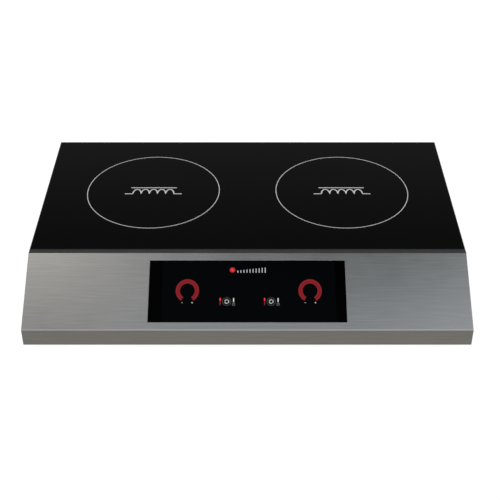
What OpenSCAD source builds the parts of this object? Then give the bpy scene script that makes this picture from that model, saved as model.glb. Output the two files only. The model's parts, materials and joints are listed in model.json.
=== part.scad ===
// Twin-zone countertop induction cooktop with a sloped control fascia.
// Millimetres, +Z up, the front faces -Y. The origin is on the worktop, under the middle of the body.

/* [Body] */
// Width of the steel body
body_w = 740; // [736:1:780]
// Depth of the steel body, from the front lip to the rear panel
body_d = 495; // [495:1:520]
// Height of the upright front lip
lip_h = 31; // [29:0.5:36]
// Horizontal run of the sloped fascia
fascia_run = 120.5; // [120:0.5:126]
// Rise of the sloped fascia
fascia_rise = 68.7; // [68:0.1:72]
// Depth of the level ledge between the fascia and the glass
ledge_d = 11.1; // [8:0.1:14]
// Thickness of the steel sheet
sheet_t = 1.2; // [1:0.1:1.5]
// Outside radius of the folds in the fascia
fold_r = 2; // [1.8:0.1:3]

/* [Glass] */
// Thickness of the ceramic glass
glass_t = 4; // [3.5:0.5:5]
// Height of the glass above the ledge and side rims
glass_proud = 0.7; // [0.5:0.1:2]
// Sealed gap around the glass
glass_gap = 0.5; // [0.4:0.1:1]
// Thickness of the silicone bed under the glass
bed_t = 0.6; // [0.4:0.1:1]
// Width of the flange that carries the glass
flange_w = 12; // [8:1:14]

/* [Cooking zones] */
// Distance of each zone's centre from the middle of the body
zone_x = 173; // [171:1:176]
// Distance of the zone centres behind the front edge of the glass
zone_back = 182.7; // [180:0.5:186]
// Outer radius of the coil windings
coil_r = 105; // [100:1:106]
// Number of turns in each winding
coil_turns = 22; // [18:1:24]
// Number of ferrite bars under each winding
ferrites = 8; // [6:2:8]

/* [Display] */
// Width of the display glass
display_w = 327.4; // [310:0.1:340]
// Height of the display glass, measured down the slope
display_h = 110.3; // [106:0.1:112]
// Distance of the display glass below the fold at the top of the slope
display_drop = 14; // [12:0.5:16]
// Thickness of the display glass
display_t = 3; // [2:0.5:3]

/* [Feet and filter] */
// Height of the rubber feet
foot_h = 20; // [19:1:26]
// Radius of the feet where they touch the worktop
foot_r = 19; // [16:1:20]
// Width of the slide-out air filter
filter_w = 430; // [400:5:440]
// Depth of the slide-out air filter
filter_d = 99; // [90:1:99]

/* [Air path] */
// Thickness of the axial fans
fan_t = 25; // [20:1:26]
// Number of blades on each impeller
fan_blades = 7; // [5:1:9]
// Width of the intake and outlet slots
slot_w = 3.5; // [2:0.5:3.5]
// Spacing of the intake and outlet slots
slot_pitch = 9; // [8:0.5:12]

/* [Hidden] */
left = -1;
right = 1;
sides = [left, right];
$fn = 48;

// Levels and edges of the case
front_y = -body_d / 2;
back_y = body_d / 2;
lip_top_z = foot_h + lip_h;
ledge_z = lip_top_z + fascia_rise;
top_z = ledge_z + glass_proud;
slope_top_y = front_y + fascia_run;
slope_angle = atan2(fascia_rise, fascia_run);
ledge_back_y = slope_top_y + ledge_d;
inner_w = body_w - 2 * sheet_t;
pan_top_z = foot_h + sheet_t;
rear_plane_y = back_y - sheet_t;
return_w = 14;

// Glass and the flange that carries it
glass_bottom_z = top_z - glass_t;
flange_z = glass_bottom_z - bed_t;
glass_w = inner_w - 2 * glass_gap;
glass_front_y = ledge_back_y + glass_gap;
glass_back_y = rear_plane_y - glass_gap;
glass_d = glass_back_y - glass_front_y;
zone_y = glass_front_y + zone_back;

// Display stack, measured down from the outside of the slope
display_mid = display_drop + display_h / 2;
display_gap = 0.5;
gasket_t = 1;
gasket_w = 5;
lcd_w = 304;
lcd_h = 98;
lcd_t = 8.5;
tray_z = -display_t - gasket_t;
lcd_bottom_z = -display_t - lcd_t;
board_t = 1.6;
control_gap = 7;
weld_gap = 0.02;
control_top_z = lcd_bottom_z - control_gap;

// Lower deck: boards stand on spacers above the base pan
spacer_h = 8;
deck_z = pan_top_z + spacer_h;
deck_top_z = deck_z + board_t;
board_w = 190;
board_d = 228;
board_front = -119;
sink_w = 84;
sink_d = 170;
sink_base = 4;
sink_h = 44;
sink_fins = 14;
chip_t = 5;

// Coil stack, measured down from the glass
mica_t = 0.5;
mica_top_z = glass_bottom_z - 0.1;
wind_t = 4;
wind_top_z = mica_top_z - mica_t;
tray_t = 3;
tray_top_z = wind_top_z - wind_t;
tray_bottom_z = tray_top_z - tray_t;
coil_in_r = 28;
rim_r = coil_r + 3.5;
lug_ring_r = rim_r + 8;
lug_r = 9;
lug_angles = [90, 210, 330];
ferrite_t = 5;
plate_t = 2;
plate_z = tray_bottom_z - 19.6;
plate_top_z = plate_z + plate_t;
plate_front_y = -55;
plate_back_y = rear_plane_y - 18;
post_spots = [for (s = sides) for (x = [68, 290]) for (y = [-40, 200]) [s * x, y]];
stud_r = 3;
running_gap = 0.05;

// Temperature sensor in its cup at the middle of each coil
cup_r = 12.5;
cup_in_r = 10.5;
cup_floor_z = tray_bottom_z - 8;
cup_t = 2;
sensor_r = 9;
sensor_t = 3.6;
stem_r = 2.5;
stem_bottom_z = cup_floor_z - 5;

// Fans of a standard size stand in front of a bulkhead
fan_size = 80;
bulkhead_y = -77;
fan_z = pan_top_z + 2.8 + fan_size / 2;
fan_bore_r = 38.3;
fan_tip_r = 37.4;
fan_hub_r = 19;
fan_hole = 35.75;
axle_r = 1.5;

// Filter and its rails hang under the pan
filter_top_z = foot_h - 1.6;
filter_t = 8;
filter_z = filter_top_z - filter_t;
filter_back_y = -117;
filter_y = filter_back_y - filter_d;
filter_band = 6;
filter_window_w = filter_w - 2 * filter_band;
filter_window_d = filter_d - 2 * filter_band;
filter_rib = 3;
pull_w = 64;
pull_d = 6;
rail_t = 1;
rail_gap = 0.8;

// Cord entry: a recess in the rear panel holds the gland
recess_w = 72;
recess_h = 46;
recess_d = 26;
recess_z = foot_h + 18;
recess_y = back_y - recess_d;
gland_z = recess_z + recess_h / 2;
gland_r = 10;
gland_bore_r = 6;
gland_hex_r = 13.6;
gland_out = 21;
gland_in = 9;

// Fastener places
base_screw_x = inner_w / 2 - return_w / 2;
base_screws_at = concat(
    [for (s = sides) for (y = [-195, -60, 80, 215]) [s * base_screw_x, y]],
    [for (x = [-250, 0, 250]) [x, front_y + sheet_t + return_w / 2]]
);
rear_screws_at = concat(
    [for (s = sides) for (z = [44, 92]) [s * base_screw_x, z]],
    [for (x = [-220, 0, 220]) [x, flange_z - 8]],
    [for (x = [-250, -100, 100, 250]) [x, foot_h + 8]]
);
feet_at = [for (s = sides) for (y = [front_y + 48, back_y - 43]) [s * (body_w / 2 - 45), y]];

// Routes of the wires, as chosen points. The coils' leads end on their board's terminal
terminal_h = 6;
lead_drop = tray_bottom_z - deck_top_z - terminal_h;
coil_lead_route = [
    [0, 0, 0], [0, 0, -14], [1, 2, -30], [2, 4, -46], [2, 4, -60], [2, 3, -67], [2, 3, -lead_drop]
];
mains_lead_route = [
    [0, 162, 38], [0, 157, 39], [0, 152, 44], [0, 145, 47], [0, 138, 44], [0, 135, 38], [0, 135, 33]
];
fan_lead_route = [
    [40, -90, 40], [46, -90, 40], [54, -88, 40], [58, -82, 40], [58, -74, 40], [58, -62, 43],
    [57, -50, 48], [56, -42, 47], [56, -40, 43], [56, -39.5, 38.9]
];
ribbon_route = [
    [-160, 66], [-152, 54], [-143, 36], [-130, 28], [-90, 26], [-60, 26], [-47, 30], [-42, 37],
    [-38, 41], [-34, 40], [-33, 36.4]
];

// ---- Outlines ----

// Direction from one point to another
function toward(p, q) = (q - p) / norm(q - p);

// Half of the inside angle at corner b
function half_angle(a, b, c) = acos(toward(b, a) * toward(b, c)) / 2;

// The points where a round corner of radius r starts and ends
function corner_ends(a, b, c, r) =
    r == 0 ? [b] : [for (p = [a, c]) b + toward(b, p) * r / tan(half_angle(a, b, c))];

// The centre of the round corner
function corner_centre(a, b, c, r) =
    b + toward([0, 0], toward(b, a) + toward(b, c)) * r / sin(half_angle(a, b, c));

// Convex polygon whose corners are true arcs of the given radii
module round_polygon(pts, radii) {
    n = len(pts);
    before = function(i) pts[(i + n - 1) % n];
    after = function(i) pts[(i + 1) % n];
    polygon([for (i = [0:n - 1]) each corner_ends(before(i), pts[i], after(i), radii[i])]);
    for (i = [0:n - 1]) {
        if (radii[i] > 0) {
            translate(corner_centre(before(i), pts[i], after(i), radii[i])) circle(radii[i]);
        }
    }
}

// Rectangle about the origin with round corners
module round_rect(w, d, r) {
    offset(r = r) square([w - 2 * r, d - 2 * r], center = true);
}

// A frame: an outer rectangle with a window in it
module frame_outline(w, d, band) {
    difference() {
        square([w, d], center = true);
        square([w - 2 * band, d - 2 * band], center = true);
    }
}

// Side outline of the case, inset by the sheet and run on past the open back and bottom
function case_points(inset, past) = [
    [front_y + inset, foot_h - past],
    [front_y + inset, lip_top_z - inset * tan(45 - slope_angle / 2)],
    [slope_top_y + inset * tan(slope_angle / 2), ledge_z - inset],
    [back_y + past, ledge_z - inset],
    [back_y + past, foot_h - past]
];

// ---- Placing and sweeping ----

// Extrudes a Y-Z outline along X, about the middle
module along_x(w) {
    rotate([90, 0, 90]) linear_extrude(w, center = true) children();
}

// Puts children on the slope: +Y runs up the slope from its top fold, +Z points out of it
module on_slope() {
    translate([0, slope_top_y, ledge_z]) rotate([slope_angle, 0, 0]) children();
}

// Puts children about the middle of the display, on the slope
module at_display(z) {
    on_slope() translate([0, -display_mid, z]) children();
}

// Puts children on the outside of the rear panel at [x, z]: +Z runs forward into the case
module at_back(p) {
    translate([p.x, back_y, p.y]) rotate([90, 0, 0]) children();
}

// Mirrors the right-hand layout to the left-hand side
module on_side(side) {
    mirror([side == left ? 1 : 0, 0, 0]) children();
}

// Puts children at a cooking zone's centre
module at_zone(side, z) {
    translate([side * zone_x, zone_y, z]) children();
}

// Puts children at one of a coil's three lugs
module at_lug(side, angle, z) {
    at_zone(side, z) rotate(angle) translate([lug_ring_r, 0, 0]) children();
}

// A block from its low corner
module block(x, y, z, w, d, h) {
    translate([x, y, z]) cube([w, d, h]);
}

// Direction of a route at point i
function heading(route, i) = toward(route[max(i - 1, 0)], route[min(i + 1, len(route) - 1)]);

// Ring of points around a route at point i
function ring_points(route, i, r, n, up) =
    let (t = heading(route, i), a = toward([0, 0, 0], cross(t, up)), b = cross(t, a))
    [for (k = [0:n - 1]) route[i] + r * (cos(360 * k / n) * a + sin(360 * k / n) * b)];

// Round wire along a route
module wire(route, r, n = 8, up = [1, 0, 0]) {
    m = len(route);
    points = [for (i = [0:m - 1]) each ring_points(route, i, r, n, up)];
    walls = [for (i = [0:m - 2]) for (k = [0:n - 1])
        [i * n + k, i * n + (k + 1) % n, (i + 1) * n + (k + 1) % n, (i + 1) * n + k]];
    near_end = [for (k = [0:n - 1]) n - 1 - k];
    far_end = [for (k = [0:n - 1]) (m - 1) * n + k];
    polyhedron(points, concat(walls, [near_end, far_end]), convexity = 6);
}

// Coil spring standing on z = 0
module spring(mean_r, wire_r, h, turns) {
    steps = 12;
    route = [for (i = [0:turns * steps])
        [mean_r * cos(360 * i / steps), mean_r * sin(360 * i / steps),
         wire_r + (h - 2 * wire_r) * i / (turns * steps)]];
    wire(route, wire_r, n = 6, up = [0, 0, 1]);
}

// ---- Case ----

module body_shell() {
    color([0.62, 0.62, 0.61]) difference() {
        union() {
            case_skin();
            glass_flange();
            bottom_returns();
            rear_returns();
        }
        glass_recess();
        at_display(0) linear_extrude(20, center = true)
            square([display_w + 2 * display_gap, display_h + 2 * display_gap], center = true);
        for (p = base_screws_at) translate([p.x, p.y, pan_top_z - 1]) cylinder(h = 2 * sheet_t + 2, r = 2);
        for (p = rear_screws_at) {
            if (p.y > foot_h + 10) at_back(p) cylinder(h = 8, r = 1.5);
        }
    }
}

// Lip, slope, ledge and both sides, open at the back and the bottom
module case_skin() {
    difference() {
        along_x(body_w) round_polygon(case_points(0, 0), [0, fold_r, fold_r, 0, 0]);
        along_x(inner_w) round_polygon(
            case_points(sheet_t, 1), [0, fold_r - sheet_t, fold_r - sheet_t, 0, 0]);
    }
}

// The step down behind the ledge and the flange that carries the glass
module glass_flange() {
    flange_front = ledge_back_y - sheet_t;
    flange_low_z = flange_z - sheet_t;
    block(-inner_w / 2, flange_front, flange_low_z, inner_w, sheet_t, ledge_z - flange_z);
    difference() {
        block(-inner_w / 2, flange_front, flange_low_z, inner_w, rear_plane_y - flange_front, sheet_t);
        block(flange_w - inner_w / 2, ledge_back_y + flange_w, flange_z - 2 * sheet_t,
            inner_w - 2 * flange_w, rear_plane_y - ledge_back_y - 2 * flange_w, 3 * sheet_t);
    }
}

// Everything above the flange, behind the ledge and between the side rims
module glass_recess() {
    block(-inner_w / 2, ledge_back_y, flange_z, inner_w, body_d, ledge_z);
}

// Returns that the base pan is screwed to
module bottom_returns() {
    block(-inner_w / 2, front_y + sheet_t / 2, pan_top_z, inner_w, return_w + sheet_t / 2, sheet_t);
    for (s = sides) {
        block(s * (inner_w / 2 - return_w / 2) - return_w / 2, front_y + sheet_t, pan_top_z,
            return_w, rear_plane_y - sheet_t - front_y - sheet_t, sheet_t);
    }
}

// Returns that the rear panel is screwed to
module rear_returns() {
    y = rear_plane_y - sheet_t;
    block(-inner_w / 2, y, flange_z - return_w, inner_w, sheet_t, return_w);
    for (s = sides) {
        x = s * (inner_w / 2 - return_w / 2) - return_w / 2;
        block(x, y, pan_top_z, return_w, sheet_t, flange_z - pan_top_z);
    }
}

module base_pan() {
    pan_w = inner_w - 0.6;
    pan_front = front_y + sheet_t + 0.3;
    color([0.55, 0.56, 0.57]) difference() {
        union() {
            block(-pan_w / 2, pan_front, foot_h, pan_w, rear_plane_y - pan_front, sheet_t);
            block(-340, rear_plane_y - sheet_t, foot_h, 680, sheet_t, 15);
        }
        intake_slots();
        for (p = base_screws_at) translate([p.x, p.y, foot_h - 1]) cylinder(h = 4, r = 2.2);
        for (p = feet_at) translate([p.x, p.y, foot_h - 1]) cylinder(h = 4, r = 2.6);
        for (p = rear_screws_at) {
            if (p.y < foot_h + 10) at_back(p) cylinder(h = 8, r = 1.5);
        }
    }
}

// Slots that let air in above the filter, in three rows
module intake_slots() {
    slot_d = 25;
    row_pitch = slot_d + 5;
    count = floor((filter_w - 40) / slot_pitch / 2);
    for (i = [-count:count]) {
        for (y = [filter_y + 6:row_pitch:filter_y + 6 + 2 * row_pitch]) {
            block(i * slot_pitch - slot_w / 2, y, foot_h - 1, slot_w, slot_d, 4);
        }
    }
}

module rear_panel() {
    panel_w = inner_w - 0.4;
    color([0.58, 0.58, 0.57]) difference() {
        union() {
            block(-panel_w / 2, rear_plane_y, foot_h, panel_w, sheet_t, ledge_z - foot_h);
            block(-recess_w / 2 - sheet_t, recess_y - sheet_t, recess_z - sheet_t,
                recess_w + 2 * sheet_t, recess_d, recess_h + 2 * sheet_t);
        }
        block(-recess_w / 2, recess_y, recess_z, recess_w, recess_d + 1, recess_h);
        outlet_slots();
        for (p = rear_screws_at) at_back(p) countersink(0.05);
        translate([0, recess_y + 1, gland_z]) rotate([90, 0, 0]) cylinder(h = 6, r = gland_r + 0.1);
    }
}

// Slots that let the warm air out, in two rows on each side of the cord recess
module outlet_slots() {
    slot_h = 26;
    for (s = sides) {
        for (i = [0:27]) {
            for (z = [40, 71]) {
                block(s * (82 + i * slot_pitch) - slot_w / 2, rear_plane_y - 1, z, slot_w, 4, slot_h);
            }
        }
    }
}

// Countersunk hole or screw head, pointing along +Z from its mouth
module countersink(gap) {
    cylinder(h = 1.2, r1 = 2.75 + gap, r2 = 1.55 + gap);
    cylinder(h = 4, r = 1.55 + gap);
}

module base_screws() {
    color("gainsboro") for (p = base_screws_at) translate([p.x, p.y, foot_h]) {
        difference() {
            translate([0, 0, -2.4]) cylinder(h = 2.4, r1 = 3.1, r2 = 3.8);
            translate([0, 0, -3]) cylinder(h = 1.8, r = 1.6, $fn = 6);
        }
        cylinder(h = 8, r = 1.95);
    }
}

module rear_screws() {
    color("gainsboro") for (p = rear_screws_at) at_back(p) {
        difference() {
            cylinder(h = 1.15, r1 = 2.7, r2 = 1.55);
            translate([0, 0, -1]) cylinder(h = 1.6, r = 1.1, $fn = 6);
        }
        translate([0, 0, 1.15]) cylinder(h = 6.85, r = 1.45);
    }
}

module rubber_feet() {
    color([0.08, 0.08, 0.08]) for (p = feet_at) translate([p.x, p.y, 0]) difference() {
        union() {
            cylinder(h = 1, r1 = foot_r - 1, r2 = foot_r);
            translate([0, 0, 1]) cylinder(h = foot_h - 1, r1 = foot_r, r2 = foot_r + 3);
        }
        translate([0, 0, -1]) cylinder(h = 9, r = 6);
        cylinder(h = foot_h + 1, r = 2.6);
    }
}

module foot_screws() {
    color("gainsboro") for (p = feet_at) translate([p.x, p.y, 0]) {
        difference() {
            translate([0, 0, 4.5]) cylinder(h = 3.5, r = 4.8);
            translate([0, 0, 4]) cylinder(h = 2.5, r = 2, $fn = 6);
        }
        translate([0, 0, 8]) cylinder(h = pan_top_z + 6 - 8, r = 2.5);
        translate([0, 0, pan_top_z]) difference() {
            cylinder(h = 4, r = 4.6, $fn = 6);
            translate([0, 0, -1]) cylinder(h = 6, r = 2.5 + running_gap);
        }
    }
}

module glass_top() {
    color([0.03, 0.03, 0.035]) translate([0, (glass_front_y + glass_back_y) / 2, glass_bottom_z])
        linear_extrude(glass_t) round_rect(glass_w, glass_d, 2);
}

// Silicone bed under the rim of the glass, and the bead that fills the gap around it
module glass_seal() {
    mid_y = (ledge_back_y + rear_plane_y) / 2;
    recess_len = rear_plane_y - ledge_back_y;
    color([0.05, 0.05, 0.05]) translate([0, mid_y, flange_z]) {
        linear_extrude(bed_t) frame_outline(inner_w, recess_len, flange_w - 1);
        translate([0, 0, bed_t]) linear_extrude(ledge_z - glass_bottom_z) difference() {
            square([inner_w, recess_len], center = true);
            round_rect(glass_w, glass_d, 2);
        }
    }
}

module cord_gland() {
    color([0.1, 0.1, 0.1]) translate([0, recess_y - sheet_t, gland_z]) rotate([-90, 0, 0]) difference() {
        union() {
            translate([0, 0, -gland_in]) cylinder(h = gland_in + sheet_t, r = gland_r);
            translate([0, 0, sheet_t]) cylinder(h = 6, r = gland_hex_r, $fn = 6);
            translate([0, 0, sheet_t + 6]) cylinder(h = 1.5, r = gland_r);
            translate([0, 0, sheet_t + 7.5]) cylinder(h = 7, r = gland_hex_r, $fn = 6);
            translate([0, 0, sheet_t + 14.5]) cylinder(h = gland_out - 14.5, r1 = 11.4, r2 = 8.4);
        }
        translate([0, 0, -gland_in - 1]) cylinder(h = gland_in + gland_out + 4, r = gland_bore_r);
    }
}

module gland_locknut() {
    color([0.12, 0.12, 0.12]) translate([0, recess_y - sheet_t, gland_z]) rotate([90, 0, 0]) difference() {
        cylinder(h = 5, r = gland_hex_r, $fn = 6);
        translate([0, 0, -1]) cylinder(h = 7, r = gland_r + running_gap);
    }
}

// ---- Display and controls ----

module display_glass() {
    color([0.02, 0.02, 0.02]) at_display(-display_t)
        linear_extrude(display_t) round_rect(display_w, display_h, 1);
}

module display_gasket() {
    color([0.1, 0.1, 0.1]) at_display(tray_z) linear_extrude(gasket_t)
        frame_outline(display_w, display_h, gasket_w);
}

module display_module() {
    color([0.3, 0.3, 0.32]) at_display(lcd_bottom_z) {
        linear_extrude(lcd_t) round_rect(lcd_w, lcd_h, 1.5);
    }
}

// Tray behind the slope: its outer flange is on the sheet, its inner flange carries the display
module control_tray() {
    flange = 12;
    step_w = display_w + 4;
    step_h = display_h + 4;
    color([0.66, 0.67, 0.68]) at_display(0) {
        translate([0, 0, -2 * sheet_t - weld_gap]) linear_extrude(sheet_t) difference() {
            square([step_w + 2 * flange, step_h + 2 * flange - 6], center = true);
            square([step_w, step_h], center = true);
        }
        translate([0, 0, tray_z - sheet_t]) linear_extrude(-tray_z) difference() {
            square([step_w + 2 * sheet_t, step_h + 2 * sheet_t], center = true);
            square([step_w, step_h], center = true);
        }
        translate([0, 0, tray_z - sheet_t]) linear_extrude(sheet_t) difference() {
            square([step_w + 2 * sheet_t, step_h + 2 * sheet_t], center = true);
            square([lcd_w + 2, lcd_h + 2], center = true);
        }
    }
}

module control_board() {
    color([0.05, 0.3, 0.16]) at_display(control_top_z - board_t) {
        linear_extrude(board_t) square([286, 90], center = true);
        for (x = [-96, 96]) block(x - 12, -12, board_t, 24, 24, 2);
        block(-22, -10, board_t, 44, 14, 2.4);
        for (x = [-130, -60, 60, 130]) block(x - 4, 22, board_t, 8, 12, 3);
        block(-24, -6, -6, 48, 8, 6);
    }
}

// Ribbon from the control board to the filter board
module ribbon_cable() {
    t = 0.45;
    m = len(ribbon_route);
    sides_of = function(s) [for (i = [0:m - 1])
        let (d = heading(ribbon_route, i)) ribbon_route[i] + s * t * [-d.y, d.x]];
    lower = sides_of(-1);
    upper = sides_of(1);
    color([0.72, 0.72, 0.7]) along_x(40) polygon(concat(lower, [for (i = [0:m - 1]) upper[m - 1 - i]]));
}

// ---- Lower deck ----

module coil_plate() {
    plate_w = 2 * 330;
    color([0.75, 0.76, 0.78]) difference() {
        block(-plate_w / 2, plate_front_y, plate_z, plate_w, plate_back_y - plate_front_y, plate_t);
        for (s = sides) {
            at_zone(s, plate_z - 1) cylinder(h = 4, r = 30);
            for (a = lug_angles) at_lug(s, a, plate_z - 1) cylinder(h = 4, r = stud_r + running_gap);
            at_zone(s, plate_z - 1) translate([s * 12, -72, 0]) linear_extrude(4) round_rect(34, 18, 4);
        }
        for (p = post_spots) translate([p.x, p.y, plate_z - 1]) cylinder(h = 4, r = 2.2);
    }
}

module plate_posts() {
    color([0.8, 0.8, 0.8]) for (p = post_spots) translate([p.x, p.y, pan_top_z]) {
        cylinder(h = plate_z - pan_top_z, r = 4.6, $fn = 6);
        translate([0, 0, plate_z - pan_top_z]) cylinder(h = plate_t, r = 2.1);
        translate([0, 0, plate_top_z - pan_top_z]) cylinder(h = 2.6, r = 3.8);
    }
}

// Brass spacers under the boards and behind the display module
module board_spacers() {
    color([0.75, 0.62, 0.3]) {
        for (s = sides) on_side(s) for (x = [8, board_w - 8]) for (y = [8, board_d - 8]) {
            translate([zone_x - board_w / 2 + x, zone_y + board_front + y, pan_top_z])
                cylinder(h = spacer_h, r = 3.2, $fn = 6);
        }
        for (x = [-48, 48]) for (y = [-34, 144]) translate([x, y, pan_top_z])
            cylinder(h = spacer_h, r = 3.2, $fn = 6);
        for (x = [-130, 130]) for (y = [-38, 38]) at_display(control_top_z) translate([x, y, 0])
            cylinder(h = control_gap, r = 2.8, $fn = 6);
    }
}

module mains_filter_board() {
    color([0.06, 0.32, 0.18]) {
        block(-55, -40, deck_z, 110, 190, board_t);
        block(-40, 20, deck_top_z, 32, 15, 24);
        block(8, 20, deck_top_z, 32, 15, 24);
        block(-40, 45, deck_top_z, 80, 14, 20);
        block(-26, -37, deck_top_z, 52, 8, 5);
        block(-46, 68, deck_top_z, 20, 6, 9);
        for (x = [-30, 0, 30]) block(x - 4, 131, deck_top_z, 8, 8, 2);
        for (s = sides) translate([s * 24, 96, deck_top_z]) cylinder(h = 30, r = 15);
        for (x = [-30, -6, 18]) translate([x, -8, deck_top_z]) cylinder(h = 16, r = 6);
    }
}

module terminal_block() {
    color([0.85, 0.84, 0.8]) translate([0, 174, pan_top_z]) difference() {
        union() {
            block(-30, -12, 0, 60, 24, 14);
            block(-24, -8, 14, 48, 16, 10);
        }
        for (x = [-15, 0, 15]) {
            translate([x, 0, 12]) cylinder(h = 14, r = 3);
            translate([x, -15, 17]) rotate([-90, 0, 0]) cylinder(h = 30, r = 2.2);
        }
    }
}

module mains_leads() {
    color([0.2, 0.25, 0.55]) for (x = [-15, 0, 15]) {
        wire([for (p = mains_lead_route) [p.y < 150 ? 2 * x : x, p.y, p.z]], 1.6);
    }
}

module fan_bulkhead() {
    wall_w = 700;
    wall_top = flange_z - sheet_t - 2;
    color([0.7, 0.71, 0.72]) difference() {
        union() {
            block(-wall_w / 2, bulkhead_y, pan_top_z, wall_w, sheet_t, wall_top - pan_top_z);
            block(-wall_w / 2, bulkhead_y, pan_top_z, wall_w, 12, sheet_t);
        }
        for (s = sides) translate([s * zone_x, bulkhead_y - 1, fan_z]) rotate([-90, 0, 0]) {
            cylinder(h = 4, r = fan_bore_r);
            fan_screw_holes(4);
            translate([s * 58, fan_z - 40, 0]) cylinder(h = 4, r = 4);
        }
        block(-24, bulkhead_y - 1, pan_top_z + sheet_t, 48, 4, 12);
    }
}

// Two wires from each fan to its board: one over the other at the fan, and side by side behind the bulkhead
module fan_leads() {
    color([0.5, 0.08, 0.08]) for (s = sides) for (apart = [-1.6, 1.6]) {
        route = [for (p = fan_lead_route) let (behind = p.y > bulkhead_y - 3)
            [s * (zone_x + p.x + (behind ? apart : 0)), p.y, p.z + (behind ? 0 : apart)]];
        wire(route, 1, up = [0, 0.3, 1]);
    }
}

// ---- Slide-out filter ----

// Frame with ribs under the mesh and a pull at the front
module filter_frame() {
    bays = 8;
    bay_w = (filter_w - filter_rib) / bays;
    overlap = 1;
    rib_w = filter_window_w + 2 * overlap;
    rib_d = filter_window_d + 2 * overlap;
    color([0.1, 0.1, 0.1]) {
        difference() {
            block(-filter_w / 2, filter_y, filter_z, filter_w, filter_d, filter_t);
            block(-filter_window_w / 2, filter_y + filter_band, filter_z - 1,
                filter_window_w, filter_window_d, filter_t + 2);
        }
        for (i = [1:bays - 1]) {
            block(i * bay_w - filter_w / 2, filter_y + filter_band - overlap, filter_z,
                filter_rib, rib_d, filter_rib);
        }
        block(-rib_w / 2, filter_y + (filter_d - filter_rib) / 2, filter_z, rib_w, filter_rib, filter_rib);
        block(-pull_w / 2, filter_y - pull_d, filter_z, pull_w, pull_d + 0.5, 3);
        block(-pull_w / 2, filter_y - pull_d, filter_z, pull_w, 2, pull_d);
    }
}

module filter_mesh() {
    color([0.6, 0.6, 0.62]) block(-filter_window_w / 2, filter_y + filter_band, filter_z + filter_rib,
        filter_window_w, filter_window_d, 0.8);
}

// A rail on each side of the filter, welded under the pan, and a stop behind it
module filter_rails() {
    web_x = filter_w / 2 + rail_gap;
    foot_z = filter_z - 0.2 - rail_t;
    color([0.6, 0.61, 0.62]) {
        for (s = sides) on_side(s) {
            block(web_x, filter_y - 2, foot_z, rail_t, filter_d + 4, foot_h - foot_z);
            block(web_x - 6, filter_y - 2, foot_z, 6 + rail_t, filter_d + 4, rail_t);
            block(web_x, filter_y - 2, foot_h - rail_t, 9, filter_d + 4, rail_t);
        }
        block(-60, filter_back_y + 0.6, filter_z, 120, rail_t, foot_h - filter_z);
    }
}

// ---- Power stage ----

module at_board(side) {
    on_side(side) translate([zone_x - board_w / 2, zone_y + board_front, deck_top_z]) children();
}

module power_board(side) {
    color([0.05, 0.3, 0.16]) at_board(side) {
        block(0, 0, -board_t, board_w, board_d, board_t);
        block(94, 38, 0, 16, 20, terminal_h);
        block(142, 10, 0, 28, 10, 8);
        block(120, 148, 0, 26, 26, 2);
        for (x = [0:4]) block(112 + x * 12, 184, 0, 7, 3, 2);
        for (x = [0:2]) translate([118 + x * 16, 210, 0]) cylinder(h = 16, r = 6);
    }
}

module heat_sink(side) {
    fin_pitch = (sink_w - 2) / (sink_fins - 1);
    color([0.72, 0.73, 0.75]) at_board(side) translate([8, 14 + sink_d, chip_t]) rotate([90, 0, 0])
        linear_extrude(sink_d) {
            square([sink_w, sink_base]);
            for (i = [0:sink_fins - 1]) translate([i * fin_pitch, 0]) square([2, sink_h]);
        }
}

module power_transistors(side) {
    color([0.07, 0.07, 0.07]) at_board(side) {
        for (y = [30, 60, 120, 150]) block(38, y, 0, 21, 16, chip_t);
        block(30, 84, 0, 36, 30, chip_t);
    }
}

module film_capacitors(side) {
    color([0.75, 0.62, 0.12]) at_board(side) {
        for (y = [66, 96]) round_can(116, y, 54, 20, 36);
        round_can(152, 128, 28, 40, 30);
    }
}

// Block with round upright edges, drawn round a core of w by d
module round_can(x, y, w, d, h) {
    edge_r = 2;
    translate([x + edge_r, y + edge_r, 0]) linear_extrude(h) offset(r = edge_r) square([w, d]);
}

// Ring core with separate turns of flat wire around it
module filter_choke(side) {
    core_in = 9;
    core_out = 18;
    core_h = 11;
    turns = 16;
    gap = 0.4;
    strip = 1.4;
    strip_w = 2;
    loop_w = core_out - core_in + 2 * gap;
    color([0.65, 0.38, 0.15]) at_board(side) translate([136, 43, strip + gap + 0.1]) {
        difference() {
            cylinder(h = core_h, r = core_out);
            translate([0, 0, -1]) cylinder(h = core_h + 2, r = core_in);
        }
        for (i = [0:turns - 1]) {
            rotate((i + 0.5) * 360 / turns) translate([core_in - gap, strip_w / 2, -gap])
                rotate([90, 0, 0]) linear_extrude(strip_w) difference() {
                    translate([-strip, -strip]) square([loop_w + 2 * strip, core_h + 2 * gap + 2 * strip]);
                    square([loop_w, core_h + 2 * gap]);
                }
        }
    }
}

// ---- Fans ----

// Puts children at a fan: +Z runs forward from the bulkhead
module at_fan(side) {
    translate([side * zone_x, bulkhead_y, fan_z]) rotate([90, 0, 0]) children();
}

// Screw holes at the corners of a fan
module fan_screw_holes(h) {
    for (x = sides) for (y = sides) translate([x * fan_hole, y * fan_hole, 0]) cylinder(h = h, r = 2.1);
}

module fan_frame(side) {
    color([0.06, 0.06, 0.06]) at_fan(side) {
        difference() {
            linear_extrude(fan_t) round_rect(fan_size, fan_size, 4);
            translate([0, 0, -1]) cylinder(h = fan_t + 2, r = fan_bore_r);
            translate([0, 0, -1]) fan_screw_holes(fan_t + 2);
        }
        cylinder(h = 3, r = fan_hub_r);
        cylinder(h = 18, r = axle_r);
        for (a = [45:90:315]) rotate(a) block(fan_hub_r - 1, -2, 0, fan_bore_r - fan_hub_r + 1.5, 4, 2.5);
    }
}

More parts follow.
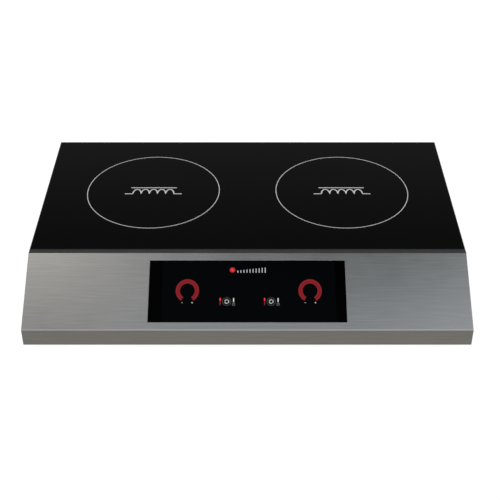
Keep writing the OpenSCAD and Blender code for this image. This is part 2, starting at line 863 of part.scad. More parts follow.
module fan_impeller(side) {
    hub_h = 19;
    chord = 22;
    pitch_angle = 40;
    blade_t = 1.6;
    root_r = fan_hub_r - 2;
    tip = sqrt(pow(fan_tip_r, 2) - pow(chord / 2 + blade_t, 2) * pow(sin(pitch_angle), 2)) - 0.6;
    color([0.09, 0.09, 0.1]) at_fan(side) translate([0, 0, 4]) difference() {
        union() {
            cylinder(h = hub_h, r = fan_hub_r);
            for (i = [0:fan_blades - 1]) {
                rotate(i * 360 / fan_blades) translate([root_r, 0, hub_h / 2]) rotate([pitch_angle, 0, 0])
                    block(0, -blade_t / 2, -chord / 2, tip - root_r, blade_t, chord);
            }
        }
        translate([0, 0, -1]) cylinder(h = hub_h - 3, r = axle_r + running_gap);
    }
}

// ---- Coils ----

module coil_former(side) {
    color([0.85, 0.84, 0.8]) at_zone(side, tray_bottom_z) difference() {
        union() {
            cylinder(h = tray_t, r = rim_r);
            difference() {
                cylinder(h = tray_t + 2.5, r = rim_r);
                translate([0, 0, tray_t]) cylinder(h = 4, r = coil_r + 0.5);
            }
            for (a = lug_angles) rotate(a) {
                translate([lug_ring_r, 0, 0]) cylinder(h = tray_t, r = lug_r);
                block(rim_r - 6, -lug_r, 0, lug_ring_r - rim_r + 6, 2 * lug_r, tray_t);
            }
        }
        difference() {
            translate([0, 0, -1]) cylinder(h = tray_t + 2, r = coil_in_r - 4);
            translate([0, 0, -2]) cylinder(h = tray_t + 4, r = cup_r);
            for (a = lug_angles) rotate(a) block(0, -3, -2, coil_in_r, 6, tray_t + 4);
        }
        translate([0, 0, -1]) cylinder(h = tray_t + 2, r = cup_in_r);
        for (a = lug_angles) rotate(a) translate([lug_ring_r, 0, -1])
            cylinder(h = tray_t + 2, r = stud_r + running_gap);
    }
    color([0.85, 0.84, 0.8]) at_zone(side, cup_floor_z) difference() {
        cylinder(h = tray_bottom_z - cup_floor_z, r = cup_r);
        translate([0, 0, cup_t]) cylinder(h = 20, r = cup_in_r);
        translate([0, 0, -1]) cylinder(h = 6, r = stem_r + running_gap);
    }
}

// Flat winding: each turn of litz wire stands a little proud of its neighbours
module coil_winding(side) {
    pitch = (coil_r - coil_in_r) / coil_turns;
    groove = 1.2;
    crown = pitch / 4;
    color([0.72, 0.4, 0.2]) at_zone(side, tray_top_z) rotate_extrude($fn = 96) polygon([
        [coil_in_r, 0],
        for (i = [0:coil_turns - 1]) each [
            [coil_in_r + pitch * i, wind_t - groove],
            [coil_in_r + pitch * i + crown, wind_t],
            [coil_in_r + pitch * (i + 1) - crown, wind_t]
        ],
        [coil_r, wind_t - groove],
        [coil_r, 0]
    ]);
}

module ferrite_bars(side) {
    color([0.16, 0.16, 0.17]) at_zone(side, tray_bottom_z - ferrite_t) for (i = [0:ferrites - 1]) {
        rotate((i + 0.5) * 360 / ferrites) block(42, -7.5, 0, 56, 15, ferrite_t);
    }
}

module mica_sheet(side) {
    color([0.78, 0.74, 0.62]) at_zone(side, wind_top_z) difference() {
        cylinder(h = mica_t, r = coil_r, $fn = 96);
        translate([0, 0, -1]) cylinder(h = mica_t + 2, r = cup_r);
    }
}

module heat_sensor(side) {
    color([0.9, 0.9, 0.88]) at_zone(side, 0) {
        head_z = glass_bottom_z - sensor_t;
        translate([0, 0, head_z]) cylinder(h = sensor_t, r = sensor_r);
        translate([0, 0, stem_bottom_z]) cylinder(h = head_z - stem_bottom_z, r = stem_r);
    }
}

module sensor_spring(side) {
    floor_z = cup_floor_z + cup_t;
    color("silver") at_zone(side, floor_z) spring(5, 0.4, glass_bottom_z - sensor_t - floor_z, 5);
}

module coil_springs(side) {
    color("silver") for (a = lug_angles) at_lug(side, a, plate_top_z)
        spring(6.4, 0.6, tray_bottom_z - plate_top_z, 6);
}

// Shouldered studs that the lugs of the coil former slide on
module coil_studs(side) {
    shank_h = tray_top_z + 0.2 - plate_z;
    color([0.8, 0.8, 0.8]) for (a = lug_angles) at_lug(side, a, plate_z) {
        cylinder(h = shank_h, r = stud_r);
        translate([0, 0, plate_t]) cylinder(h = 3, r = 5, $fn = 6);
        translate([0, 0, shank_h]) cylinder(h = 1.6, r = 5);
    }
}

module coil_leads(side) {
    color([0.75, 0.45, 0.2]) at_zone(side, tray_bottom_z) for (x = [0, 9]) {
        wire([for (p = coil_lead_route) [side * (x + p.x), p.y - 75, p.z]], 1.8);
    }
}

// ---- Nodes ----

body_shell();
base_pan();
rear_panel();
base_screws();
rear_screws();
rubber_feet();
foot_screws();
glass_top();
glass_seal();
cord_gland();
gland_locknut();
display_glass();
display_gasket();
display_module();
control_tray();
control_board();
ribbon_cable();
coil_plate();
plate_posts();
board_spacers();
mains_filter_board();
terminal_block();
mains_leads();
fan_bulkhead();
fan_leads();
filter_frame();
filter_mesh();
filter_rails();
power_board(left);  // power_board_left
power_board(right);  // power_board_right
heat_sink(left);  // heat_sink_left
heat_sink(right);  // heat_sink_right
power_transistors(left);  // power_transistors_left
power_transistors(right);  // power_transistors_right
film_capacitors(left);  // film_capacitors_left
film_capacitors(right);  // film_capacitors_right
filter_choke(left);  // filter_choke_left
filter_choke(right);  // filter_choke_right
fan_frame(left);  // fan_frame_left
fan_frame(right);  // fan_frame_right
fan_impeller(left);  // fan_impeller_left
fan_impeller(right);  // fan_impeller_right
coil_former(left);  // coil_former_left
coil_former(right);  // coil_former_right
coil_winding(left);  // coil_winding_left
coil_winding(right);  // coil_winding_right
ferrite_bars(left);  // ferrite_bars_left
ferrite_bars(right);  // ferrite_bars_right
mica_sheet(left);  // mica_sheet_left
mica_sheet(right);  // mica_sheet_right
heat_sensor(left);  // heat_sensor_left
heat_sensor(right);  // heat_sensor_right
sensor_spring(left);  // sensor_spring_left
sensor_spring(right);  // sensor_spring_right
coil_springs(left);  // coil_springs_left
coil_springs(right);  // coil_springs_right
coil_studs(left);  // coil_studs_left
coil_studs(right);  // coil_studs_right
coil_leads(left);  // coil_leads_left
coil_leads(right);  // coil_leads_right
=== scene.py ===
import json
from math import cos, pi, radians, sin

import bmesh
import bpy
from mathutils import Matrix, Vector


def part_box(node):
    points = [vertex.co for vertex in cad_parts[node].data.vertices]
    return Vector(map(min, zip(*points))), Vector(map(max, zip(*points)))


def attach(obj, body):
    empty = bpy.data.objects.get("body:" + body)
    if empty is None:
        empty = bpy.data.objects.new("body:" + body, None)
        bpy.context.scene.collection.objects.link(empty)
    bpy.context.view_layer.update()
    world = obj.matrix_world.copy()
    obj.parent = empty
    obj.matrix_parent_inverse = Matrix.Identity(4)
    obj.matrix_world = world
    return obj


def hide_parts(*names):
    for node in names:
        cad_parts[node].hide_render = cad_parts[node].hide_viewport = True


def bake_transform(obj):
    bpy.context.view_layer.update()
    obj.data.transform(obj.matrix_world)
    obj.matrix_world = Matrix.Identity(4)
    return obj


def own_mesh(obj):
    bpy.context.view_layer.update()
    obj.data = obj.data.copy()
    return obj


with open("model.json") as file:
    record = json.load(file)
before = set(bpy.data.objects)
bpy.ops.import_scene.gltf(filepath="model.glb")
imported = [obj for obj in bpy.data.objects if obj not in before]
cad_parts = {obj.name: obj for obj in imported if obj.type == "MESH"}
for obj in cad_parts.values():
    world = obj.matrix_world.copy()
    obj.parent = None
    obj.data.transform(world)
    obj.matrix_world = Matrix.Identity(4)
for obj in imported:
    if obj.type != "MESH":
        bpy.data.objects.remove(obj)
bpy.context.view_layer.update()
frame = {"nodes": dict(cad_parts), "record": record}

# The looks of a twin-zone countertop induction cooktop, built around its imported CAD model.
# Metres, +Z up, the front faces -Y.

MM = 0.001
SIDES = {"left": -1, "right": 1}
NODES = frame["nodes"]

glass_low, glass_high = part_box("glass_top")
display_low, display_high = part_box("display_glass")

# The lit panel's middle lies this far to the right of the display glass's, in millimetres
PANEL_SHIFT = 2.2


# ---- Camera ----

def make_camera():
    """A long lens in front of the cooktop, looking down at it."""
    off_centre = 0.00435
    in_front = 1.435
    above = 1.0306
    pitch = radians(35.756)
    camera = bpy.data.objects.new("camera", bpy.data.cameras.new("camera"))
    camera.data.lens = 74.9
    camera.location = (off_centre, glass_low.y - in_front, glass_high.z + above)
    camera.rotation_euler = (pi / 2 - pitch, 0, 0)
    bpy.context.scene.collection.objects.link(camera)
    bpy.context.scene.camera = camera


make_camera()
bpy.context.scene.view_settings.view_transform = "Standard"


# ---- Node trees ----

class Graph:
    """Short calls that add nodes to a node tree."""

    def __init__(self, tree):
        self.tree = tree

    def add(self, kind, settings=None, **inputs):
        """A node of this kind, with its inputs linked or set. Inputs are named, with _ for a space."""
        node = self.tree.nodes.new("ShaderNode" + kind)
        for key, value in (settings or {}).items():
            setattr(node, key, value)
        for key, value in inputs.items():
            self.feed(node.inputs[key.replace("_", " ")], value)
        return node

    def feed(self, socket, value):
        """Links value to the socket if it is a node's output, or else sets it."""
        if isinstance(value, bpy.types.NodeSocket):
            self.tree.links.new(value, socket)
        else:
            socket.default_value = value

    def math(self, operation, a, b=0.0):
        node = self.add("Math", {"operation": operation})
        self.feed(node.inputs[0], a)
        self.feed(node.inputs[1], b)
        return node.outputs[0]

    def split(self, vector):
        node = self.add("SeparateXYZ", Vector=vector)
        return node.outputs["X"], node.outputs["Y"], node.outputs["Z"]

    def span(self, value, low, high):
        """0 where value is low, 1 where it is high, and smooth in between."""
        smooth = {"interpolation_type": "SMOOTHSTEP"}
        node = self.add("MapRange", smooth, Value=value, From_Min=low, From_Max=high)
        return node.outputs["Result"]

    def ramp(self, value, stops):
        """Colours read off a ramp. A stop is (place, grey or colour)."""
        node = self.add("ValToRGB", Fac=value)
        elements = node.color_ramp.elements
        while len(elements) < len(stops):
            elements.new(0.5)
        for element, (place, shade) in zip(elements, stops):
            element.position = place
            element.color = (*tint(shade), 1)
        return node.outputs["Color"]

    def mix(self, factor, a, b):
        """Colour a where factor is 0 and b where it is 1."""
        node = self.add("Mix", {"data_type": "RGBA"})
        self.feed(node.inputs[0], factor)
        for socket, colour in ((node.inputs[6], a), (node.inputs[7], b)):
            self.feed(socket, colour if isinstance(colour, bpy.types.NodeSocket) else (*tint(colour), 1))
        return node.outputs[2]


def tint(shade):
    """A grey number, or a colour, as three numbers."""
    return (shade, shade, shade) if isinstance(shade, (int, float)) else tuple(shade)


class Finish(Graph):
    """A Principled material. Patterns are in the row frame's metres."""

    def __init__(self, name, **sockets):
        self.material = bpy.data.materials.new(name)
        self.material.use_nodes = True
        super().__init__(self.material.node_tree)
        self.shader = self.tree.nodes["Principled BSDF"]
        self.place = self.add("TexCoord").outputs["Object"]
        self.set(**sockets)

    def set(self, **sockets):
        for key, value in sockets.items():
            if isinstance(value, tuple):
                value = (*value, 1)
            self.feed(self.shader.inputs[key.replace("_", " ")], value)

    def noise(self, period, detail=2.0, rough=0.5, stretch=(1, 1, 1)):
        """Noise whose features are about period wide, and stretch times that along each axis."""
        scale = tuple(1 / (period * s) for s in stretch)
        vector = self.add("Mapping", {"vector_type": "POINT"}, Vector=self.place, Scale=scale).outputs[0]
        node = self.add("TexNoise", Vector=vector, Scale=1.0, Detail=detail, Roughness=rough)
        return node.outputs["Fac"]

    def bump(self, height, depth):
        """Raises the surface by up to depth where height is 1."""
        node = self.add("Bump", Strength=1.0, Distance=depth, Height=height)
        linked = self.shader.inputs["Normal"].links
        if linked:
            self.feed(node.inputs["Normal"], linked[0].from_socket)
        self.feed(self.shader.inputs["Normal"], node.outputs["Normal"])

    def wear(self, colour, radius, share=0.6):
        """Softens sharp edges in the shading, and rubs them towards another colour."""
        soft = self.add("Bevel", {"samples": 6}, Radius=radius).outputs["Normal"]
        facing = self.add("VectorMath", {"operation": "DOT_PRODUCT"})
        self.feed(facing.inputs[0], soft)
        self.feed(facing.inputs[1], self.add("NewGeometry").outputs["Normal"])
        edge = self.span(facing.outputs["Value"], 0.995, 0.85)
        patchy = self.span(self.noise(5 * MM, detail=4, rough=0.65), 0.35, 0.6)
        amount = self.math("MULTIPLY", self.math("MULTIPLY", edge, patchy), share)
        base = self.shader.inputs["Base Color"]
        self.feed(base, self.mix(amount, base.links[0].from_socket, colour))
        self.feed(self.shader.inputs["Normal"], soft)

    def rough(self, value, low, high):
        """Roughness from low to high as value goes from 0.3 to 0.7, the range that noise fills."""
        node = self.add("MapRange", Value=value, From_Min=0.3, From_Max=0.7, To_Min=low, To_Max=high)
        self.feed(self.shader.inputs["Roughness"], node.outputs["Result"])

    def colour(self, value, dark, light):
        """Base colour from dark to light as value goes from 0.3 to 0.7."""
        self.feed(self.shader.inputs["Base Color"], self.ramp(value, [(0.3, dark), (0.7, light)]))


# ---- Studio ----

WARM = (1.0, 0.975, 0.92)
COOL = (0.92, 0.965, 1.0)
BLUE = (0.9, 0.96, 1.0)
SAND = (1.0, 0.96, 0.87)


def lit(level, hue):
    return tuple(level * h for h in hue)


def at(degrees):
    """A turn about the X axis as a place on a ramp: 0 behind the cooktop, 90 overhead, 180 in front."""
    return (degrees / 360 + 0.25) % 1


def light_round_x(g, turn):
    """The light all the way round the X axis: below, behind, overhead and in front."""
    return g.ramp(turn, [
        (at(-90), 0.45), (at(-40), 0.6), (at(-8), 0.62), (at(20), 0.22), (at(28), 0.13), (at(30), 0.106),
        (at(33), 0.068), (at(36), 0.04), (at(48), 0.1), (at(60), 0.17), (at(75), 0.2), (at(108), 0.5),
        (at(115), 1.0), (at(138), 1.0), (at(152), 0.45), (at(180), 0.25), (at(205), lit(0.27, SAND)),
        (at(235), lit(0.27, SAND)), (at(265), 0.45)])


def light_overhead(g, turn, x):
    """The ceiling that the fascia reflects: brightest to the left, and more even towards the front."""
    across = g.math("ADD", x, 0.5)
    upper = g.ramp(across, [
        (0.15, lit(1.0, SAND)), (0.30, lit(0.86, SAND)), (0.355, lit(0.61, WARM)), (0.40, 0.39),
        (0.45, lit(0.22, COOL)), (0.50, lit(0.135, COOL)), (0.545, lit(0.09, COOL)),
        (0.59, lit(0.07, COOL)), (0.635, lit(0.09, COOL)), (0.70, lit(0.16, COOL)),
        (0.85, lit(0.6, COOL))])
    lower = g.ramp(across, [
        (0.20, 0.26), (0.30, 0.275), (0.355, 0.34), (0.40, lit(0.385, COOL)), (0.45, lit(0.455, BLUE)),
        (0.59, lit(0.45, BLUE)), (0.635, lit(0.47, BLUE)), (0.70, lit(0.61, COOL)),
        (0.85, lit(0.68, COOL))])
    slant_degrees = 2
    slant = g.math("MULTIPLY", g.math("SUBTRACT", 0.5, across), slant_degrees / 360)
    return g.mix(g.span(g.math("ADD", turn, slant), at(94), at(100)), upper, lower)


def light_beside(g, z):
    """What is seen to the left and right, from the floor up."""
    height = g.math("ADD", g.math("MULTIPLY", z, 0.5), 0.5)
    return g.ramp(height, [
        (0.0, 0.4), (0.25, 0.56), (0.47, 0.5), (0.5, 0.6), (0.62, 0.45), (0.8, 0.25), (1.0, 0.35)])


def make_world():
    """A soft studio all round, which lights and is reflected. The camera itself sees white."""
    world = bpy.data.worlds.new("studio")
    world.use_nodes = True
    bpy.context.scene.world = world
    g = Graph(world.node_tree)
    x, y, z = g.split(g.add("TexCoord").outputs["Generated"])
    turn = g.math("DIVIDE", g.math("ARCTAN2", z, y), 2 * pi)
    turn = g.math("FRACT", g.math("ADD", turn, 1.25))
    near_top = g.math("MULTIPLY", g.span(turn, at(62), at(80)), g.span(turn, at(117), at(107)))
    front_and_back = g.mix(near_top, light_round_x(g, turn), light_overhead(g, turn, x))
    beside = g.span(g.math("ABSOLUTE", x), 0.4, 0.75)
    seen = g.mix(beside, front_and_back, light_beside(g, z))
    seen = g.mix(g.add("LightPath").outputs["Is Camera Ray"], seen, 1.0)
    g.feed(world.node_tree.nodes["Background"].inputs["Color"], seen)


def make_floor():
    """A white sweep with a faint contact shadow. From below it lets the underside be seen."""
    half = 20.0
    mesh = bpy.data.meshes.new("floor")
    corners = [(-half, -half, 0), (half, -half, 0), (half, half, 0), (-half, half, 0)]
    mesh.from_pydata(corners, [], [(0, 1, 2, 3)])
    floor = bpy.data.objects.new("floor", mesh)
    bpy.context.scene.collection.objects.link(floor)
    material = bpy.data.materials.new("floor")
    material.use_nodes = True
    g = Graph(material.node_tree)
    material.node_tree.nodes.remove(material.node_tree.nodes["Principled BSDF"])
    glow = g.add("Emission", Color=(1, 1, 1, 1), Strength=0.93)
    matt = g.add("BsdfDiffuse", Color=(0.3, 0.3, 0.3, 1))
    bright = g.add("AddShader")
    g.feed(bright.inputs[0], glow.outputs[0])
    g.feed(bright.inputs[1], matt.outputs[0])
    sheet = g.add("MixShader", Fac=g.add("NewGeometry").outputs["Backfacing"])
    g.feed(sheet.inputs[1], bright.outputs[0])
    g.feed(sheet.inputs[2], g.add("BsdfTransparent").outputs[0])
    g.feed(material.node_tree.nodes["Material Output"].inputs["Surface"], sheet.outputs[0])
    mesh.materials.append(material)
    floor.visible_glossy = False


make_world()
make_floor()


# ---- Finishes, one for each slot of the record ----

def brushed_steel_case():
    """Brushed along the front, and front to back on the two sides."""
    f = Finish("brushed_steel_case", Metallic=1.0)
    fine = f.noise(0.35 * MM, stretch=(400, 1, 1))
    broad = f.noise(1.9 * MM, detail=2, stretch=(26, 1, 1))
    side_fine = f.noise(0.35 * MM, stretch=(1, 400, 1))
    side_broad = f.noise(1.9 * MM, detail=2, stretch=(1, 26, 1))
    normal_x = f.split(f.add("NewGeometry").outputs["True Normal"])[0]
    on_side = f.math("GREATER_THAN", f.math("ABSOLUTE", normal_x), 0.5)
    grain = f.mix(on_side, f.mix(0.62, fine, broad), f.mix(0.62, side_fine, side_broad))
    f.colour(grain, (0.56, 0.56, 0.56), (0.65, 0.65, 0.65))
    smudges = f.noise(60 * MM, detail=4, rough=0.6)
    f.rough(f.mix(0.4, smudges, grain), 0.15, 0.22)
    f.wear((0.74, 0.74, 0.73), 0.5 * MM)
    f.bump(grain, 0.01 * MM)
    return f


def plain_steel():
    f = Finish("plain_steel", Metallic=1.0)
    rolled = f.noise(1.2 * MM, detail=3, stretch=(120, 1, 1))
    stains = f.noise(45 * MM, detail=5, rough=0.6)
    f.colour(f.mix(0.5, rolled, stains), (0.42, 0.42, 0.41), (0.56, 0.56, 0.55))
    f.rough(stains, 0.32, 0.46)
    f.wear((0.68, 0.68, 0.67), 0.5 * MM)
    f.bump(rolled, 0.02 * MM)
    return f


def galvanised_steel():
    f = Finish("galvanised_steel", Metallic=1.0)
    spangle = f.add("TexVoronoi", {"feature": "F1"}, Vector=f.place, Scale=1 / (7 * MM))
    cell = f.split(spangle.outputs["Color"])[0]
    haze = f.noise(2 * MM, detail=4)
    zinc = f.ramp(f.mix(0.3, cell, haze), [(0.1, (0.44, 0.46, 0.48)), (0.9, (0.66, 0.68, 0.7))])
    f.feed(f.shader.inputs["Base Color"], zinc)
    f.rough(cell, 0.34, 0.5)
    f.wear((0.76, 0.77, 0.78), 0.4 * MM)
    f.bump(haze, 0.02 * MM)
    return f


def worn_metal(name, dark, light, low=0.22, high=0.4, period=0.8 * MM):
    """Bare metal with fine scratches and handling marks."""
    f = Finish(name, Metallic=1.0)
    scratches = f.noise(0.3 * MM, detail=4, rough=0.7, stretch=(1, 6, 1))
    marks = f.noise(period * 6, detail=4, rough=0.6)
    f.colour(f.mix(0.5, scratches, marks), dark, light)
    f.rough(marks, low, high)
    f.wear(tuple(min(1.2 * c, 0.95) for c in light), 0.25 * MM)
    f.bump(scratches, 0.01 * MM)
    return f


def screw_steel():
    return worn_metal("screw_steel", (0.5, 0.5, 0.49), (0.74, 0.74, 0.72))


def spring_steel():
    return worn_metal("spring_steel", (0.4, 0.4, 0.4), (0.62, 0.62, 0.61), 0.2, 0.34)


def display_metal():
    return worn_metal("display_metal", (0.34, 0.34, 0.35), (0.5, 0.5, 0.51), 0.35, 0.5)


def aluminium():
    return worn_metal("aluminium", (0.6, 0.61, 0.63), (0.78, 0.79, 0.8), 0.28, 0.45, 2 * MM)


def brass():
    return worn_metal("brass", (0.6, 0.43, 0.18), (0.8, 0.62, 0.3), 0.22, 0.38)


def black_ceramic_glass():
    """Polished black glass with faint wiping marks and dust."""
    f = Finish("black_ceramic_glass", Metallic=0.0, IOR=1.5)
    dust = f.noise(1.2 * MM, detail=5, rough=0.8)
    f.colour(dust, (0.0012, 0.0013, 0.0013), (0.0026, 0.0027, 0.0027))
    wipes = f.noise(70 * MM, detail=4, rough=0.55, stretch=(2, 1, 1))
    f.rough(wipes, 0.03, 0.08)
    f.bump(f.noise(25 * MM, detail=1), 0.01 * MM)
    return f


def display_glass():
    """Smoked glass. The lit panel behind it glows faintly, and its printed margins don't."""
    f = Finish("display_glass", Metallic=0.0, Specular_IOR_Level=0.025, Emission_Strength=1.0)
    dust = f.noise(1.5 * MM, detail=4, rough=0.7)
    f.colour(dust, (0.0002, 0.0002, 0.0002), (0.0005, 0.0005, 0.0005))
    x = f.split(f.place)[0]
    off_middle = f.math("ABSOLUTE", f.math("SUBTRACT", x, PANEL_SHIFT * MM))
    panel_edge = 144 * MM
    margin = f.span(off_middle, panel_edge - MM, panel_edge + MM)
    panel = f.mix(dust, (0.0006, 0.0011, 0.0014), (0.0009, 0.0015, 0.0018))
    f.feed(f.shader.inputs["Emission Color"], f.mix(margin, panel, 0.0001))
    f.rough(f.noise(40 * MM, detail=3), 0.05, 0.12)
    f.bump(f.noise(30 * MM, detail=1), 0.005 * MM)
    return f


def matt_black(name, dark, light, low, high, period, depth):
    """Black rubber or plastic with a fine moulded texture."""
    f = Finish(name, Metallic=0.0)
    grain = f.noise(period, detail=3, rough=0.6)
    scuffs = f.noise(18 * MM, detail=5, rough=0.65)
    f.colour(f.mix(0.5, grain, scuffs), dark, light)
    f.rough(scuffs, low, high)
    f.wear(tuple(1.8 * c for c in light), 0.5 * MM)
    f.bump(grain, depth)
    return f


def black_silicone():
    return matt_black(
        "black_silicone", dark=(0.008, 0.008, 0.009), light=(0.018, 0.018, 0.019), low=0.4, high=0.6,
        period=1.5 * MM, depth=0.05 * MM)


def black_rubber():
    return matt_black(
        "black_rubber", dark=(0.018, 0.018, 0.018), light=(0.05, 0.05, 0.049), low=0.6, high=0.85,
        period=0.6 * MM, depth=0.06 * MM)


def black_plastic():
    return matt_black(
        "black_plastic", dark=(0.014, 0.014, 0.015), light=(0.034, 0.034, 0.035), low=0.35, high=0.55,
        period=0.5 * MM, depth=0.03 * MM)


def transistor_epoxy():
    return matt_black(
        "transistor_epoxy", dark=(0.01, 0.01, 0.01), light=(0.03, 0.03, 0.03), low=0.45, high=0.6,
        period=0.3 * MM, depth=0.02 * MM)


def ferrite():
    return matt_black(
        "ferrite", dark=(0.03, 0.03, 0.033), light=(0.08, 0.08, 0.084), low=0.5, high=0.7,
        period=0.4 * MM, depth=0.05 * MM)


def circuit_board():
    """Green solder mask over copper tracks."""
    f = Finish("circuit_board", Metallic=0.0)
    tracks = f.add("TexVoronoi", {"feature": "DISTANCE_TO_EDGE"}, Vector=f.place, Scale=1 / (6 * MM))
    line = f.span(tracks.outputs["Distance"], 0.06, 0.09)
    flecks = f.noise(0.8 * MM, detail=3)
    mask = f.mix(line, (0.02, 0.16, 0.07), (0.008, 0.075, 0.035))
    f.feed(f.shader.inputs["Base Color"], f.mix(f.span(flecks, 0.62, 0.66), mask, (0.5, 0.46, 0.36)))
    f.rough(flecks, 0.25, 0.4)
    f.bump(line, -0.03 * MM)
    return f


def ribbon():
    """Grey flat cable with parallel cores."""
    f = Finish("ribbon", Metallic=0.0)
    wave = f.add("TexWave", {"bands_direction": "X"}, Vector=f.place, Scale=1 / (8 * MM), Distortion=0.0)
    dirt = f.noise(4 * MM, detail=3)
    f.feed(f.shader.inputs["Base Color"], f.mix(wave.outputs["Fac"], (0.34, 0.34, 0.33), (0.5, 0.5, 0.49)))
    f.rough(dirt, 0.4, 0.55)
    f.bump(wave.outputs["Fac"], 0.2 * MM)
    return f


def moulded(name, dark, light, low=0.35, high=0.55, period=0.7 * MM):
    """Moulded or dipped plastic in one colour, a little uneven."""
    f = Finish(name, Metallic=0.0)
    grain = f.noise(period, detail=3)
    blotches = f.noise(14 * MM, detail=4, rough=0.6)
    f.colour(f.mix(0.6, grain, blotches), dark, light)
    f.rough(blotches, low, high)
    f.bump(grain, 0.03 * MM)
    return f


def cream_plastic():
    return moulded("cream_plastic", (0.58, 0.55, 0.47), (0.72, 0.69, 0.6))


def mains_wire():
    return moulded("mains_wire", (0.02, 0.04, 0.22), (0.035, 0.06, 0.32), 0.3, 0.45)


def fan_wire():
    return moulded("fan_wire", (0.3, 0.012, 0.012), (0.45, 0.02, 0.02), 0.3, 0.45)


def capacitor_film():
    return moulded("capacitor_film", (0.5, 0.34, 0.03), (0.68, 0.48, 0.06), 0.25, 0.4)


def sensor_ceramic():
    return moulded("sensor_ceramic", (0.68, 0.67, 0.64), (0.82, 0.81, 0.78), 0.3, 0.5, 0.3 * MM)


def mica():
    """Flaky mica laminate."""
    f = Finish("mica", Metallic=0.0, Sheen_Weight=0.1)
    flakes = f.split(f.add("TexVoronoi", Vector=f.place, Scale=1 / (3 * MM)).outputs["Color"])[0]
    cloud = f.noise(9 * MM, detail=5, rough=0.65)
    f.colour(f.mix(0.4, cloud, flakes), (0.42, 0.36, 0.24), (0.68, 0.62, 0.47))
    f.rough(flakes, 0.25, 0.5)
    f.bump(flakes, 0.03 * MM)
    return f


def twisted_copper(name, dark, light, period):
    """Enamelled copper strands, twisted together."""
    f = Finish(name, Metallic=1.0)
    diagonal = {"bands_direction": "DIAGONAL"}
    twist = f.add("TexWave", diagonal, Vector=f.place, Scale=1 / period,
                  Distortion=1.5, Detail=1.0, Detail_Scale=2.0)
    strands = twist.outputs["Fac"]
    tarnish = f.noise(6 * MM, detail=4, rough=0.6)
    f.colour(f.mix(0.5, strands, tarnish), dark, light)
    f.rough(tarnish, 0.25, 0.42)
    f.bump(strands, 0.12 * MM)
    return f


def choke_copper():
    return twisted_copper("choke_copper", (0.42, 0.14, 0.045), (0.75, 0.34, 0.13), 6 * MM)


def litz_copper():
    return twisted_copper("litz_copper", (0.4, 0.15, 0.05), (0.72, 0.35, 0.15), 4 * MM)


def filter_steel_mesh():
    return worn_metal("filter_steel_mesh", (0.45, 0.45, 0.45), (0.62, 0.62, 0.62), 0.25, 0.4)


SLOTS = [
    brushed_steel_case, plain_steel, galvanised_steel, screw_steel, spring_steel, black_ceramic_glass,
    display_glass, black_silicone, black_rubber, black_plastic, display_metal, circuit_board, ribbon,
    aluminium, brass, cream_plastic, mains_wire, fan_wire, filter_steel_mesh, transistor_epoxy,
    capacitor_film, choke_copper, litz_copper, ferrite, mica, sensor_ceramic]
finishes = {make.__name__: make().material for make in SLOTS}


def paint(piece, slot):
    """Gives a piece the finish of one of the record's slots."""
    piece.data.materials.clear()
    piece.data.materials.append(finishes[slot])


def paint_nodes():
    """Gives each CAD node the finish of the slot that the record gives its sub-part."""
    for part in frame["record"]["subparts"]:
        paint(NODES[part["node"]], part["material_slot"])


# ---- Flat artwork ----

def arc(radius, start, end, steps, middle=(0, 0)):
    """Points along an arc. Angles are in degrees, from +X towards +Y."""
    turns = [radians(start + (end - start) * i / steps) for i in range(steps + 1)]
    return [(middle[0] + radius * cos(a), middle[1] + radius * sin(a)) for a in turns]


def arc_band(inner, outer, start, end, middle=(0, 0), steps=48):
    """The two rails of a curved band."""
    return arc(outer, start, end, steps, middle), arc(inner, start, end, steps, middle)


def ring(inner, outer, count, middle=(0, 0)):
    """The two rails of a whole ring with count points round it, for a closed piece of artwork."""
    return arc_band(inner, outer, 0, 360 - 360 / count, middle, count - 1)


def narrowed(rails, middle_x, share):
    """Rails squeezed across to a share of their width about middle_x."""
    return tuple([(middle_x + (x - middle_x) * share, y) for x, y in rail] for rail in rails)


def disc(radius, middle=(0, 0)):
    """The two rails of a filled disc."""
    upper = arc(radius, 172, 8, 20, middle)
    return upper, [(x, 2 * middle[1] - y) for x, y in upper]


def bar(x, y, width, height):
    """The two rails of a rectangle about (x, y)."""
    left = x - width / 2
    right = x + width / 2
    top = y + height / 2
    bottom = y - height / 2
    return [(left, top), (right, top)], [(left, bottom), (right, bottom)]


def stroke(points, width):
    """The two rails of a line drawn through points."""
    rails = ([], [])
    for i, here in enumerate(points):
        before = Vector(points[max(i - 1, 0)])
        after = Vector(points[min(i + 1, len(points) - 1)])
        along = (after - before).normalized()
        aside = Vector((-along.y, along.x)) * width / 2
        rails[0].append(tuple(Vector(here) + aside))
        rails[1].append(tuple(Vector(here) - aside))
    return rails


def add_band(mesh, rails, closed, thickness):
    """A closed thin solid between two rails of points."""
    layers = [[mesh.verts.new((x, y, z)) for x, y in rail] for z in (0, thickness) for rail in rails]
    low_a, low_b, top_a, top_b = layers
    count = len(low_a)
    for i in range(count if closed else count - 1):
        j = (i + 1) % count
        mesh.faces.new((top_a[i], top_a[j], top_b[j], top_b[i]))
        mesh.faces.new((low_a[i], low_b[i], low_b[j], low_a[j]))
        mesh.faces.new((low_a[i], low_a[j], top_a[j], top_a[i]))
        mesh.faces.new((low_b[j], low_b[i], top_b[i], top_b[j]))
    if not closed:
        mesh.faces.new((low_a[0], top_a[0], top_b[0], low_b[0]))
        mesh.faces.new((low_a[-1], low_b[-1], top_b[-1], top_a[-1]))


